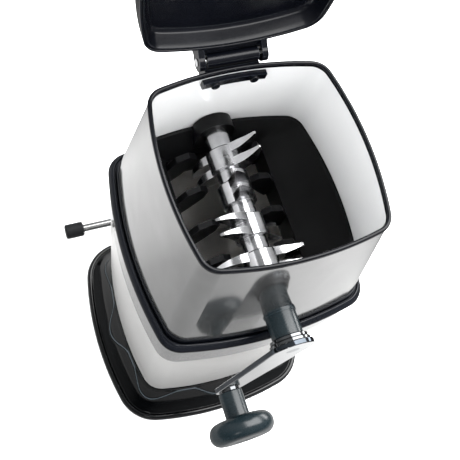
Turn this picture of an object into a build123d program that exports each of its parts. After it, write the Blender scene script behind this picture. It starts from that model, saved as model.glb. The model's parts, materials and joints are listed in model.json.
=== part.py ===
from build123d import *
import math
import os

"""Hand-cranked ice crusher on a suction base.

Millimetres, +Z up. The origin is the middle of the suction cup's flat underside.
-Y is the crank side, +Y the hinge side, +X the right of somebody turning the crank.
The lid is modelled closed and then swung open about its pin.
"""

# ---- heights of the body, from the table up ----
FOOT_Z = 0.8           # underside of the base shell
NECK_FOOT_Z = 16.0     # where the neck rises out of the apron
NECK_Z = 34.0          # top of the base, where the container stands
SKIRT_Z = 146.4        # parting line between the container and the lift-off head
DECK_Z = 172.0         # underside of the head's deck
HOPPER_Z = 177.2       # foot of the hopper wall
BAND_TOP_Z = 186.4     # top edge of the band on the hopper wall
STEEL_TOP_Z = 268.0    # upper edge of the hopper wall
RIM_FOOT_Z = 266.4     # lower edge of the rim ring, outside
RIM_Z = 269.5          # top of the rim ring

# ---- plan sizes: half the width across the middle of two opposite sides ----
BASE_HALF = 77.7
BASE_CORNER = 30.0
BASE_BOW = 226.0
NECK_HALF = 60.4
CONTAINER_FOOT_HALF = 60.5
CONTAINER_TOP_HALF = 66.6
CONTAINER_NECK_HALF = 65.0
CONTAINER_NECK_Z = 158.0
CONTAINER_SHEET = 1.2
SKIRT_FOOT_HALF = 67.0
SKIRT_TOP_HALF = 68.6
BAND_HALF = 69.5
HOPPER_FOOT_HALF = 65.4
HOPPER_TOP_HALF = 55.3
RIM_HALF = 55.9
RIM_INNER_HALF = 53.6
CORNER = 14.5          # corner radius of the container and the band
HOPPER_CORNER = 13.4
RIM_CORNER = 11.4
BOW = 3.5              # a side's radius as a multiple of the half width
SHEET = 1.0            # steel sheet

# ---- flare of the base, as (height, inset from the widest outline), and its wavy apron ----
FLARE = ((6.7, 4.9), (7.8, 6.2), (9.7, 8.4), (12.4, 11.0), (15.4, 13.4), (18.0, 15.2), (20.6, 17.0))
APRON_STEP = 1.3       # height of the apron over the flare
APRON_MARGIN = 0.3     # least distance of the apron's edge from the body
SIDE_LOBE = 6.7
SIDE_LOBE_REACH = 22.0
CORNER_LOBE = 4.8
CORNER_LOBE_REACH = math.radians(19)
WAVE_POINTS = 96
LIP_CREASE = 4.0       # inset of the crease inside the base's lip
NECK_HOLLOW_HALF = 58.2

# ---- crank ----
CRANK_Z = 203.7
SHAFT_R = 4.0
FIT = 0.05             # radial running clearance
BOSS_R = 8.9
BOSS_END_Y = -76.5
DISC_BACK_Y = -76.8
DISC_FRONT_Y = -80.8
ARM_FRONT_Y = -84.0
ARM_LENGTH = 77.5
ARM_LEAN = math.radians(16.2)
EYE_R = 13.0
ARM_END_R = 8.6
DISC_STEP = 1.9        # thickness of the smaller step of the collar behind the arm
HANDLE_X = -ARM_LENGTH * math.sin(ARM_LEAN)
HANDLE_Z = CRANK_Z - ARM_LENGTH * math.cos(ARM_LEAN)
PIN_R = 3.0
PIN_TIP_Y = -110.0
STEM_R = 7.5
STEM_BACK_Y = -85.2
KNOB_BACK_Y = -101.4
KNOB_FRONT_Y = -115.2
KNOB_R = 20.3
KNOB_ROUND = 6.6
KNOB_CAP_R = 5.9
KNOB_CAP_DEPTH = 1.4

# ---- crushing rotor and combs ----
CLAW_PITCH = 22.0
CLAW_COUNT = 4
CLAW_REACH = 26.5
CLAW_HUB_R = 10.0
CLAW_HUB_LENGTH = 14.0
CLAW_STEP = 45.0       # degrees between neighbouring claws
PRONG_OFFSET = 4.5
SLEEVE_R = 7.6
COMB_PITCH = 22.0
COMB_THICK = 3.6
THROAT_X = 31.0
THROAT_Y = 49.0
THROAT_FOOT_Z = 168.0
THROAT_TOP_Z = 188.0
FUNNEL_TOP_Z = 202.0
PLASTIC = 2.6
BEARING_Y = 51.5
BUSH_R = 7.0
BUSH_END_Y = 59.8
PILLAR_R = 12.0
PILLAR_THICK = 8.3

# ---- hinge and lid ----
HINGE_Y = 61.4
HINGE_Z = 269.4
HINGE_R = 2.0
LID_OPEN = 94.0        # degrees from closed
LID_HALF = 53.4
LID_SHIFT = 0.5
LID_LIP_Z = 270.3
LID_DEPTH = 14.2
LID_TRAY = 9.6
LID_CORNER = 12.4
LID_WALL = 1.3
LID_HOLLOW = 12.0
LID_DRAFT = 4.0
EAR_X = 15.9
EAR_THICK = 3.3
EAR_R = 4.8
BARREL_X = 14.3
BARREL_R = 3.7
LEAF_GAP = 0.5         # between the lid's leaf and the barrel
BRACKET_X = 15.4
BRACKET_FOOT_Z = 255.5
BRACKET_TOP_Z = 265.6
CLAMP_X = 18.0
CLAMP_FOOT_Z = 258.8
CLAMP_TOP_Z = 264.2
CLAMP_THICK = 3.2
HINGE_SCREW_X = 11.0
HINGE_SCREW_Z = 261.4
HINGE_SCREW_R = 1.6
HINGE_SCREW_CLEARANCE_R = 1.7

# ---- suction cup and its lever ----
LEVER_Z = 14.0
LEVER_ROD_R = 3.0
LEVER_FRONT_Y = -16.0
LEVER_BACK_Y = 88.5
LEVER_TIP_X = -80.0
LEVER_BEND = 10.0
CAM_R = 6.5
CAM_LIFT = 2.4
YOKE_HALF = 12.5
CUP_R = 59.3
CUP_COLLAR_R = 19.6
CUP_COLLAR_BORE_R = 15.7
CUP_THICK = 2.8
LIFT_FOOT_R = 15.2
LIFT_FOOT_TOP_Z = 7.2
BUSH_FLANGE_Y = 70.6
LEVER_BUSH_R = 5.2
LEVER_FLANGE_R = 6.6
SCREW_XY = 48.0
SCREW_R = 1.5
SCREW_TIP_Z = 16.0
SCREW_CLEARANCE_R = 1.7


def turned(x, y, quarter):
    """The point (x, y) turned by so many quarter turns about Z."""
    c, s = [(1, 0), (0, 1), (-1, 0), (0, -1)][quarter]
    return c * x - s * y, s * x + c * y


def corner_centre(half, corner, bow):
    """Distance of a corner arc's centre from each axis of a bowed square."""
    side = half - bow
    reach = bow - corner
    return (side + math.sqrt(2 * reach * reach - side * side)) / 2


def bowed_square(z, half, corner, bow=None):
    """Closed wire at height z: four bowed sides joined by four corner arcs."""
    bow = bow or BOW * half
    side = half - bow
    d = corner_centre(half, corner, bow)
    length = math.hypot(d - side, d)
    tx = side + bow * (d - side) / length
    ty = bow * d / length
    m = d + corner / math.sqrt(2)
    edges = []
    for quarter in range(4):
        ends = [turned(*p, quarter) for p in ((tx, -ty), (half, 0), (tx, ty), (m, m), (ty, tx))]
        a, b, c, e, f = [Vector(x, y, z) for x, y in ends]
        edges.append(Edge.make_three_point_arc(a, b, c))
        edges.append(Edge.make_three_point_arc(c, e, f))
    return Wire(edges)


def rounded_rectangle(z, half_x, half_y, corner):
    """Closed wire at height z whose eight edges start where bowed_square's do."""
    cx, cy = half_x - corner, half_y - corner
    k = corner / math.sqrt(2)
    edges = []
    corners = [(cx, cy, 1, 1), (-cx, cy, -1, 1), (-cx, -cy, -1, -1), (cx, -cy, 1, -1)]
    for i, (x, y, sx, sy) in enumerate(corners):
        px, py, qx, qy = corners[i - 1]
        level = i % 2 == 0
        start = Vector(px + qx * corner, py, z) if level else Vector(px, py + qy * corner, z)
        end = Vector(x + sx * corner, y, z) if level else Vector(x, y + sy * corner, z)
        after = Vector(x, y + sy * corner, z) if level else Vector(x + sx * corner, y, z)
        edges.append(Edge.make_line(start, end))
        edges.append(Edge.make_three_point_arc(end, Vector(x + sx * k, y + sy * k, z), after))
    return Wire(edges)


def through(*wires):
    """Solid with straight flanks from each wire to the next."""
    return Part() + Solid.make_loft(list(wires), ruled=True)


def stack(*sections):
    """Solid through bowed squares, each (z, half, corner) or (z, half, corner, bow)."""
    return through(*[bowed_square(*section) for section in sections])


def block(x0, x1, y0, y1, z0, z1):
    """Box between two opposite corners."""
    return Pos((x0 + x1) / 2, (y0 + y1) / 2, (z0 + z1) / 2) * Box(x1 - x0, y1 - y0, z1 - z0)


def rod_x(radius, x0, x1, y, z):
    """Cylinder along X."""
    return Pos((x0 + x1) / 2, y, z) * Rot(0, 90, 0) * Cylinder(radius, x1 - x0)


def rod_y(radius, y0, y1, x=0.0, z=CRANK_Z):
    """Cylinder along Y, on the crank's axis unless told otherwise."""
    return Pos(x, (y0 + y1) / 2, z) * Rot(90, 0, 0) * Cylinder(radius, y1 - y0)


def rod_z(radius, z0, z1, x=0.0, y=0.0):
    """Cylinder along Z."""
    return Pos(x, y, (z0 + z1) / 2) * Cylinder(radius, z1 - z0)


# ---- hopper wall, which the band, rim, boss and hinge fit against ----

def hopper_half(z):
    """Half width of the hopper's outer face at height z."""
    share = (z - HOPPER_Z) / (STEEL_TOP_Z - HOPPER_Z)
    return HOPPER_FOOT_HALF + share * (HOPPER_TOP_HALF - HOPPER_FOOT_HALF)


def hopper_corner(z):
    """Corner radius of the hopper's outer face at height z."""
    share = (z - HOPPER_Z) / (STEEL_TOP_Z - HOPPER_Z)
    return HOPPER_CORNER + share * (RIM_CORNER - HOPPER_CORNER)


def hopper_core(inset, z0, z1):
    """Solid that fills the hopper from z0 to z1, inset from its outer face."""
    return stack(*[(z, hopper_half(z) - inset, hopper_corner(z) - inset) for z in (z0, z1)])


# ---- base ----

def body_radius(angle):
    """Distance from the middle to the container's foot outline, in the direction angle."""
    half, bow = CONTAINER_FOOT_HALF, BOW * CONTAINER_FOOT_HALF
    side = half - bow
    d = corner_centre(half, CORNER, bow)
    a = abs((angle + math.pi / 4) % (math.pi / 2) - math.pi / 4)
    if a < math.atan2(bow * d, side * math.hypot(d - side, d) + bow * (d - side)):
        return side * math.cos(a) + math.sqrt(bow**2 - (side * math.sin(a)) ** 2)
    across = d * (math.sin(a) - math.cos(a))
    return d * (math.cos(a) + math.sin(a)) + math.sqrt(CORNER**2 - across**2)


def lobe(share):
    """Smooth hump: 1 at share 0, and 0 from share 1 outward."""
    return 0.5 * (1 + math.cos(math.pi * min(abs(share), 1.0)))


def wavy_outline(z):
    """Closed wire of the apron's edge: the body's outline with a lobe on each side and corner."""
    points = []
    for i in range(WAVE_POINTS):
        angle = 2 * math.pi * i / WAVE_POINTS
        a = (angle + math.pi / 4) % (math.pi / 2) - math.pi / 4
        r = body_radius(angle)
        wave = SIDE_LOBE * lobe(r * math.sin(a) / SIDE_LOBE_REACH)
        wave += CORNER_LOBE * lobe((math.pi / 4 - abs(a)) / CORNER_LOBE_REACH)
        r += APRON_MARGIN + wave
        points.append(Vector(r * math.cos(angle), r * math.sin(angle), z))
    return Wire([Edge.make_spline(points, periodic=True)])


def base_section(z, inset):
    """Section of the base, inset evenly from its widest outline."""
    return z, BASE_HALF - inset, BASE_CORNER - inset, BASE_BOW - inset


def screw_places():
    """Places of the four screws under the base."""
    return [(SCREW_XY * sx, SCREW_XY * sy) for sx in (-1, 1) for sy in (-1, 1)]


def base_shell():
    """Flared pedestal with a rounded lip, a wavy apron and a neck for the container."""
    flare = stack(*[base_section(z, inset) for z, inset in (
        (FOOT_Z, 1.5), (1.5, 0.4), (2.7, 0.0), (4.6, 0.0), (6.0, 0.5), (6.9, 1.6),
        (7.2, 2.9), (6.9, 4.3))])
    flare += stack(*[base_section(z, inset) for z, inset in (
        (4.0, LIP_CREASE), (6.0, LIP_CREASE + 0.3), *FLARE)])
    apron = stack(*[base_section(z + APRON_STEP, inset) for z, inset in FLARE])
    apron &= through(wavy_outline(FOOT_Z), wavy_outline(NECK_Z))
    neck = stack((NECK_FOOT_Z, NECK_HALF + 0.5, CORNER + 0.4), (NECK_Z, NECK_HALF, CORNER))
    inside = stack(*[base_section(z, inset) for z, inset in ((-1.0, LIP_CREASE), (4.6, LIP_CREASE))])
    inside += stack(*[base_section(z, inset) for z, inset in (
        (4.5, 6.5), (6.6, 10.0), (9.0, 14.5), (12.0, 19.0))])
    inside += stack((11.9, NECK_HOLLOW_HALF, CORNER - 2), (NECK_Z - 2.8, NECK_HOLLOW_HALF - 0.4, CORNER - 2))
    shell = flare + apron + neck - inside
    for x, y in screw_places():
        shell += rod_z(4.0, 4.6, NECK_Z - 1, x, y)
        shell -= rod_z(SCREW_R, 0, SCREW_TIP_Z + 0.2, x, y)
    for side in (-1, 1):
        x0, x1 = sorted((side * (YOKE_HALF + 0.3), side * (YOKE_HALF + 2.8)))
        shell += block(x0, x1, -4.5, 4.5, 10.5, NECK_Z - 1)
    shell += block(-7, 7, -18, -10, 9.8, NECK_Z - 1)
    shell -= rod_y(LEVER_ROD_R + FIT, -30, 90, 0, LEVER_Z)
    shell -= rod_y(LEVER_BUSH_R, 54, 90, 0, LEVER_Z)
    return shell - rod_y(LEVER_FLANGE_R, BUSH_FLANGE_Y, 90, 0, LEVER_Z)


def base_plate():
    """Flat cover under the base, round the suction cup's collar."""
    plate = stack(base_section(2.8, LIP_CREASE + 0.2), base_section(4.4, LIP_CREASE + 0.2))
    plate -= rod_z(CUP_COLLAR_R + 0.4, 0, 10)
    for x, y in screw_places():
        plate -= rod_z(SCREW_CLEARANCE_R, 0, 10, x, y)
    return plate


def suction_cup():
    """Rubber disc with a flat underside, a thin lip and a collar for the lifting foot."""
    points = [(0, 0), (57, 0), (59, 0.3), (CUP_R, 0.9), (58, 1.6), (47, CUP_THICK), (CUP_COLLAR_R, CUP_THICK),
              (CUP_COLLAR_R, 9.4), (CUP_COLLAR_BORE_R, 9.4), (CUP_COLLAR_BORE_R, 2.0), (0, 2.0)]
    return revolve(make_face(Polyline(*[(r, 0, z) for r, z in points], close=True)), Axis.Z)


def base_screw(x, y):
    """Pan-head screw, head down."""
    return rod_z(3.2, 1.2, 2.8, x, y) + rod_z(SCREW_R, 2.0, SCREW_TIP_Z, x, y)


def lever_bush():
    """Plastic bush where the lever's shaft leaves the base."""
    bush = rod_y(LEVER_BUSH_R, 55.0, BUSH_FLANGE_Y, 0, LEVER_Z)
    bush += rod_y(LEVER_FLANGE_R, BUSH_FLANGE_Y, BUSH_FLANGE_Y + 2.2, 0, LEVER_Z)
    return bush - rod_y(LEVER_ROD_R + FIT, 40, 80, 0, LEVER_Z)


def lift_yoke():
    """Frame round the cam, which draws the middle of the suction cup up."""
    top = LEVER_Z + CAM_LIFT + CAM_R
    window = CAM_R + CAM_LIFT + 0.4
    frame = block(-YOKE_HALF, YOKE_HALF, -4, 4, LIFT_FOOT_TOP_Z, top + 4.1)
    return frame - block(-window, window, -5, 5, top - 2 * CAM_R - 0.5, top + 1.0)


def lift_foot():
    """Disc under the yoke, inside the cup's collar."""
    return rod_z(LIFT_FOOT_R, 4.8, LIFT_FOOT_TOP_Z)


def lever_rod():
    """One bent rod: the cam shaft along Y and the lever along -X."""
    path = FilletPolyline((0, LEVER_FRONT_Y, LEVER_Z), (0, LEVER_BACK_Y, LEVER_Z),
                          (LEVER_TIP_X + 1.5, LEVER_BACK_Y, LEVER_Z), radius=LEVER_BEND)
    profile = Plane((0, LEVER_FRONT_Y, LEVER_Z), z_dir=(0, 1, 0)) * Circle(LEVER_ROD_R)
    return sweep(profile, path)


def lever_cap():
    """Rubber cap on the lever's tip."""
    cap = rod_x(5.8, LEVER_TIP_X, LEVER_TIP_X + 14.4, LEVER_BACK_Y, LEVER_Z)
    cap = fillet(cap.edges().filter_by(GeomType.CIRCLE), 1.4)
    return cap - rod_x(LEVER_ROD_R, LEVER_TIP_X + 1.5, 0, LEVER_BACK_Y, LEVER_Z)


def lever_cam():
    """Eccentric disc on the lever's shaft."""
    cam = rod_y(CAM_R, -3.8, 3.8, 0, LEVER_Z + CAM_LIFT)
    return cam - rod_y(LEVER_ROD_R, -10, 10, 0, LEVER_Z)


# ---- container ----

def container_half(z):
    """Half width of the container's outer face at height z."""
    share = (z - NECK_Z) / (SKIRT_Z - 0.4 - NECK_Z)
    return CONTAINER_FOOT_HALF + share * (CONTAINER_TOP_HALF - CONTAINER_FOOT_HALF)


def container_shell():
    """Open-topped steel box with a rounded foot and a neck inside the head's skirt."""
    shoulder = SKIRT_Z - 0.4
    body = stack((NECK_Z, CONTAINER_FOOT_HALF - 1.0, CORNER - 1.0),
                 (NECK_Z + 0.4, CONTAINER_FOOT_HALF - 0.3, CORNER - 0.3),
                 (NECK_Z + 1.4, container_half(NECK_Z + 1.4), CORNER),
                 (shoulder, CONTAINER_TOP_HALF, CORNER))
    sheet = CONTAINER_SHEET
    inner = CONTAINER_NECK_HALF - sheet
    body -= stack((NECK_Z + sheet, CONTAINER_FOOT_HALF - 2.6, CORNER - 2.0),
                  (NECK_Z + 3.0, container_half(NECK_Z + 3.0) - sheet, CORNER - sheet),
                  (shoulder - sheet, container_half(shoulder - sheet) - sheet, CORNER - sheet))
    body -= stack((shoulder - 1.4, inner, CORNER - sheet), (shoulder + 1, inner, CORNER - sheet))
    neck = stack((shoulder - sheet, CONTAINER_NECK_HALF, CORNER),
                 (CONTAINER_NECK_Z, CONTAINER_NECK_HALF, CORNER))
    neck -= stack((shoulder - 2, inner, CORNER - sheet), (CONTAINER_NECK_Z + 1, inner, CORNER - sheet))
    return body + neck


def container_lip():
    """Soft seal on the container's neck, which the head stands on."""
    foot, outer, inner = CONTAINER_NECK_Z, CONTAINER_NECK_HALF + 0.2, CONTAINER_NECK_HALF - 1.4
    lip = stack((foot, outer, CORNER), (foot + 1.4, outer, CORNER), (foot + 2.0, outer - 0.4, CORNER - 0.4))
    return lip - stack((foot - 1, inner, CORNER - 1.4), (foot + 3, inner, CORNER - 1.4))


# ---- lift-off head ----

def skirt():
    """Polished steel skirt round the container's neck."""
    outer = stack((SKIRT_Z, SKIRT_FOOT_HALF, CORNER), (HOPPER_Z - 0.2, SKIRT_TOP_HALF, CORNER))
    return outer - stack((SKIRT_Z, SKIRT_FOOT_HALF - SHEET, CORNER - SHEET),
                         (HOPPER_Z - 0.2, SKIRT_TOP_HALF - SHEET, CORNER - SHEET))


def deck():
    """Plastic deck that carries the hopper, with a ring that stands on the container."""
    plate = stack((DECK_Z, 67.2, CORNER - SHEET), (HOPPER_Z - 0.2, 67.45, CORNER - SHEET))
    ring = stack((160.3, 65.1, CORNER), (DECK_Z, 65.1, CORNER))
    ring -= stack((160.0, 62.6, CORNER - 2.5), (DECK_Z, 62.6, CORNER - 2.5))
    hole_x = THROAT_X + PLASTIC + 0.3
    hole_y = THROAT_Y + PLASTIC + 0.3
    hole = through(rounded_rectangle(DECK_Z - 1, hole_x, hole_y, 6),
                   rounded_rectangle(HOPPER_Z + 1, hole_x, hole_y, 6))
    return plate + ring - hole


def band():
    """Moulded band over the joint between the skirt and the hopper, grooved beside the wall."""
    ring = stack((HOPPER_Z - 0.2, 68.7, CORNER), (177.5, 69.3, CORNER), (178.4, BAND_HALF, CORNER),
                 (180.0, 69.15, CORNER), (181.6, 68.4, CORNER - 0.3), (182.9, 67.5, CORNER - 0.6),
                 (183.1, 67.1, CORNER - 0.7), (183.15, 65.35, HOPPER_CORNER),
                 (BAND_TOP_Z, 64.9, HOPPER_CORNER))
    groove = stack((181.3, 66.5, CORNER - 0.9), (184.0, 67.0, CORNER - 0.8))
    groove -= stack((181.0, 65.7, HOPPER_CORNER), (183.15, 65.35, HOPPER_CORNER),
                    (185.0, 65.1, HOPPER_CORNER))
    return ring - groove - hopper_core(0, HOPPER_Z - 1, BAND_TOP_Z + 1)


def hopper_shell():
    """Tapered polished wall of the hopper, with a hole for the crank's boss."""
    wall = hopper_core(0, HOPPER_Z, STEEL_TOP_Z) - hopper_core(SHEET, HOPPER_Z - 1, STEEL_TOP_Z + 1)
    return wall - rod_y(BOSS_R - 0.8, -80, -40) - hinge_screw_holes(HINGE_SCREW_CLEARANCE_R)


def rim_ring():
    """Rounded ring clipped over the hopper's upper edge."""
    corner = RIM_CORNER
    middle = (RIM_HALF + RIM_INNER_HALF) / 2
    ring = stack((RIM_FOOT_Z, RIM_HALF - 0.3, corner), (RIM_FOOT_Z + 0.6, RIM_HALF, corner),
                 (RIM_Z - 1.2, RIM_HALF, corner), (RIM_Z - 0.5, RIM_HALF - 0.25, corner - 0.2),
                 (RIM_Z, middle + 0.3, corner - 0.8))
    ring -= stack((RIM_FOOT_Z - 1, RIM_INNER_HALF, corner - 2.3), (RIM_Z - 1.2, RIM_INNER_HALF, corner - 2.3),
                  (RIM_Z - 0.5, RIM_INNER_HALF + 0.25, corner - 2.1), (RIM_Z, middle - 0.3, corner - 1.4),
                  (RIM_Z + 0.5, middle, corner - 1.1))
    return ring - hopper_shell()


def funnel():
    """Black insert: sloping bed, throat round the rotor and two bearing pillars."""
    under = through(bowed_square(FUNNEL_TOP_Z, hopper_half(FUNNEL_TOP_Z) - 1.15, 11.8),
                    bowed_square(198.6, hopper_half(198.6) - 1.15, 11.8),
                    rounded_rectangle(185.4, THROAT_X + PLASTIC, THROAT_Y + PLASTIC, 5.6))
    under += through(rounded_rectangle(THROAT_FOOT_Z, THROAT_X + PLASTIC, THROAT_Y + PLASTIC, 5.6),
                     rounded_rectangle(185.6, THROAT_X + PLASTIC, THROAT_Y + PLASTIC, 5.6))
    under += through(rounded_rectangle(HOPPER_Z, THROAT_X + 9, THROAT_Y + 9, 8),
                     rounded_rectangle(HOPPER_Z + 2.4, THROAT_X + 9, THROAT_Y + 9, 8))
    over = through(bowed_square(FUNNEL_TOP_Z + 0.2, hopper_half(FUNNEL_TOP_Z) - 3.0, 10.0),
                   rounded_rectangle(THROAT_TOP_Z, THROAT_X, THROAT_Y, 3.0))
    over += through(rounded_rectangle(THROAT_FOOT_Z - 1, THROAT_X, THROAT_Y, 3.0),
                    rounded_rectangle(THROAT_TOP_Z + 0.1, THROAT_X, THROAT_Y, 3.0))
    bed = under - over
    for side in (-1, 1):
        y0, y1 = sorted((side * BEARING_Y, side * (BEARING_Y + PILLAR_THICK)))
        pillar = block(-PILLAR_R, PILLAR_R, y0, y1, THROAT_TOP_Z - 1.0, CRANK_Z) + rod_y(PILLAR_R, y0, y1)
        bed += pillar
    return bed - rod_y(BUSH_R, -BUSH_END_Y - 10, BUSH_END_Y + 10)


def bush(y0, y1):
    """Bearing bush of the rotor's shaft between y0 and y1."""
    return rod_y(BUSH_R, y0, y1) - rod_y(SHAFT_R + FIT, y0 - 1, y1 + 1)


def crank_boss():
    """Round boss that carries the shaft clear of the hopper's front wall."""
    boss = rod_y(BOSS_R, BOSS_END_Y, -62.0) - hopper_core(0, 190, 220)
    boss = fillet(boss.edges().group_by(Axis.Y)[0], 0.5)
    boss += rod_y(BUSH_R, -64.0, -60.0)
    return boss - rod_y(SHAFT_R + 0.3, -90, -50)


def boss_ring():
    """Thin bright ring round the foot of the boss, lying on the wall."""
    ring = rod_y(BOSS_R + 0.5, -63.1, -58.0) - hopper_core(0, 185, 225)
    return ring - rod_y(BOSS_R, -80, -50)


def comb_bar(side, y):
    """Fixed pointed bar that stands in the throat between two claws."""
    points = [(THROAT_X, 172.0), (THROAT_X, 187.6), (26.0, 196.5), (18.5, 200.0), (13.6, 197.0),
              (15.0, 189.0), (22.0, 179.0), (27.5, 172.0)]
    face = make_face(Polyline(*[(side * x, y, z) for x, z in points], close=True))
    return extrude(face, COMB_THICK / 2, both=True)


# ---- rotor and crank ----

def rotor_shaft():
    """Round shaft from the crank arm to the rear bearing."""
    return rod_y(SHAFT_R, ARM_FRONT_Y, 59.0)


def prong(y):
    """Curved spike along +X that narrows to its point, at the place y along the shaft."""
    edge = [ThreePointArc((6, -5.6), (19, -3.2), (CLAW_REACH, 4.6)),
            Line((CLAW_REACH, 4.6), (CLAW_REACH - 0.7, 5.3)),
            ThreePointArc((CLAW_REACH - 0.7, 5.3), (16, 4.2), (6, 6.0)),
            Line((6, 6.0), (6, -5.6))]
    side_view = Plane((0, y, 0), x_dir=(1, 0, 0), z_dir=(0, -1, 0)) * make_face(edge)
    spike = extrude(side_view, 4, both=True)
    top_view = Polyline((5, y - 2.5), (14, y - 2.3), (CLAW_REACH + 0.5, y - 0.6),
                        (CLAW_REACH + 0.5, y + 0.6), (14, y + 2.3), (5, y + 2.5), close=True)
    return spike & extrude(make_face(top_view), 12, both=True)


def claw(index):
    """Hub with a pair of prongs on each side, turned on from its neighbour."""
    y = CLAW_PITCH * (index - (CLAW_COUNT - 1) / 2)
    hub = rod_y(CLAW_HUB_R, y - CLAW_HUB_LENGTH / 2, y + CLAW_HUB_LENGTH / 2, 0, 0)
    hub = chamfer(hub.edges().filter_by(GeomType.CIRCLE), 0.8)
    for half_turn in (0, 180):
        for offset in (-PRONG_OFFSET, PRONG_OFFSET):
            hub += Rot(0, half_turn, 0) * prong(y + offset)
    hub -= rod_y(SHAFT_R, -60, 60, 0, 0)
    return Pos(0, 0, CRANK_Z) * Rot(0, CLAW_STEP * index, 0) * hub


def sleeve(y0, y1):
    """Spacer on the shaft between two claws."""
    return rod_y(SLEEVE_R, y0, y1) - rod_y(SHAFT_R, y0 - 1, y1 + 1)


def sleeve_spans():
    """Where the five spacers lie along the shaft."""
    edge = CLAW_PITCH * (CLAW_COUNT - 1) / 2 + CLAW_HUB_LENGTH / 2
    spans = [(-BEARING_Y + 0.3, -edge)]
    for i in range(CLAW_COUNT - 1):
        y = CLAW_PITCH * (i - (CLAW_COUNT - 2) / 2)
        half = (CLAW_PITCH - CLAW_HUB_LENGTH) / 2
        spans.append((y - half, y + half))
    spans.append((edge, BEARING_Y - 0.3))
    return spans


def hub_disc():
    """Two-step bright collar between the boss and the crank arm."""
    middle = DISC_BACK_Y - DISC_STEP
    disc = rod_y(10.8, middle, DISC_BACK_Y) + rod_y(11.7, DISC_FRONT_Y, middle - 0.3)
    disc = fillet(disc.edges().filter_by(GeomType.CIRCLE), 0.35)
    disc += rod_y(10.2, middle - 1, middle + 1)
    return disc - rod_y(SHAFT_R, -90, -70)


def crank_arm():
    """Flat arm that tapers from its eye on the shaft to the handle's pin."""
    axis = Vector(HANDLE_X, HANDLE_Z - CRANK_Z)
    along = axis.normalized()
    lean = math.acos((EYE_R - ARM_END_R) / ARM_LENGTH)
    left = along.rotate(Axis.Z, math.degrees(lean))
    right = along.rotate(Axis.Z, -math.degrees(lean))
    corners = [left * EYE_R, axis + left * ARM_END_R, axis + right * ARM_END_R, right * EYE_R]
    web = make_face(Polyline(*[(p.X, p.Y) for p in corners], close=True))
    outline = web + Circle(EYE_R) + Pos(axis.X, axis.Y) * Circle(ARM_END_R)
    face = Plane((0, DISC_FRONT_Y, CRANK_Z), x_dir=(1, 0, 0), z_dir=(0, -1, 0)) * outline
    arm = extrude(face, DISC_FRONT_Y - ARM_FRONT_Y)
    arm = fillet(arm.edges().filter_by(Axis.Y, reverse=True), 0.7)
    arm -= rod_y(SHAFT_R, -90, -70)
    return arm - rod_y(PIN_R, -90, -70, HANDLE_X, HANDLE_Z)


def handle_pin():
    """Shouldered pin riveted in the arm, on which the handle turns."""
    pin = rod_y(PIN_R, PIN_TIP_Y, DISC_FRONT_Y, HANDLE_X, HANDLE_Z)
    head = rod_y(4.8, DISC_FRONT_Y, DISC_FRONT_Y + 1.3, HANDLE_X, HANDLE_Z)
    return pin + fillet(head.edges().group_by(Axis.Y)[-1], 1.0)


def handle_washer():
    """Bright washer between the arm and the handle."""
    washer = rod_y(6.6, STEM_BACK_Y + 0.3, ARM_FRONT_Y, HANDLE_X, HANDLE_Z)
    return washer - rod_y(PIN_R, -90, -80, HANDLE_X, HANDLE_Z)


def handle_stem():
    """Sleeve of the handle."""
    stem = rod_y(STEM_R, KNOB_BACK_Y, STEM_BACK_Y, HANDLE_X, HANDLE_Z)
    stem = fillet(stem.edges().group_by(Axis.Y)[-1], 0.6)
    return stem - rod_y(PIN_R + FIT, -120, -80, HANDLE_X, HANDLE_Z)


def handle_knob():
    """Flat round knob with a full bull-nosed rim."""
    knob = rod_y(KNOB_R, KNOB_FRONT_Y, KNOB_BACK_Y, HANDLE_X, HANDLE_Z)
    knob = fillet(knob.edges().filter_by(GeomType.CIRCLE), KNOB_ROUND)
    knob -= rod_y(PIN_R + FIT, PIN_TIP_Y - 1, KNOB_BACK_Y + 1, HANDLE_X, HANDLE_Z)
    return knob - rod_y(KNOB_CAP_R + 0.1, KNOB_FRONT_Y - 5, KNOB_FRONT_Y + KNOB_CAP_DEPTH, HANDLE_X, HANDLE_Z)


def knob_cap():
    """Round plug flush in the knob's face."""
    cap = rod_y(KNOB_CAP_R, KNOB_FRONT_Y + 0.1, KNOB_FRONT_Y + KNOB_CAP_DEPTH, HANDLE_X, HANDLE_Z)
    return fillet(cap.edges().group_by(Axis.Y)[0], 0.4)


# ---- hinge ----

def hinge_bracket():
    """Block on the outside of the hopper's back wall, with the barrel of the hinge."""
    body = block(-BRACKET_X, BRACKET_X, 50, 65.4, BRACKET_FOOT_Z, BRACKET_TOP_Z)
    body = fillet(body.edges().filter_by(Axis.Z).group_by(Axis.Y)[-1], 2.0)
    body += block(-BARREL_X, BARREL_X, 58.4, 64.9, BRACKET_TOP_Z - 3, HINGE_Z)
    body += rod_x(BARREL_R, -BARREL_X, BARREL_X, HINGE_Y, HINGE_Z)
    clearance = stack((250, RIM_HALF + 1.8, RIM_CORNER), (264.2, RIM_HALF + 0.3, RIM_CORNER),
                      (275, RIM_HALF + 0.3, RIM_CORNER))
    body -= clearance - stack((250, 40, 5), (263.8, 40, 5))
    body += block(-BRACKET_X + 0.4, BRACKET_X - 0.4, 50, 62, BRACKET_FOOT_Z + 1, 263.4)
    body -= hopper_core(0, 245, 275)
    body -= hinge_screw_holes(HINGE_SCREW_R)
    return body - rod_x(HINGE_R + FIT, -30, 30, HINGE_Y, HINGE_Z)


def hinge_clamp():
    """Plate inside the hopper's back wall, under the rim."""
    plate = block(-CLAMP_X, CLAMP_X, 48, 60, CLAMP_FOOT_Z, CLAMP_TOP_Z)
    inside = hopper_core(SHEET, 245, 275)
    plate = (plate & inside) - Pos(0, -CLAMP_THICK, 0) * inside
    return plate - hinge_screw_holes(HINGE_SCREW_CLEARANCE_R)


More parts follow.
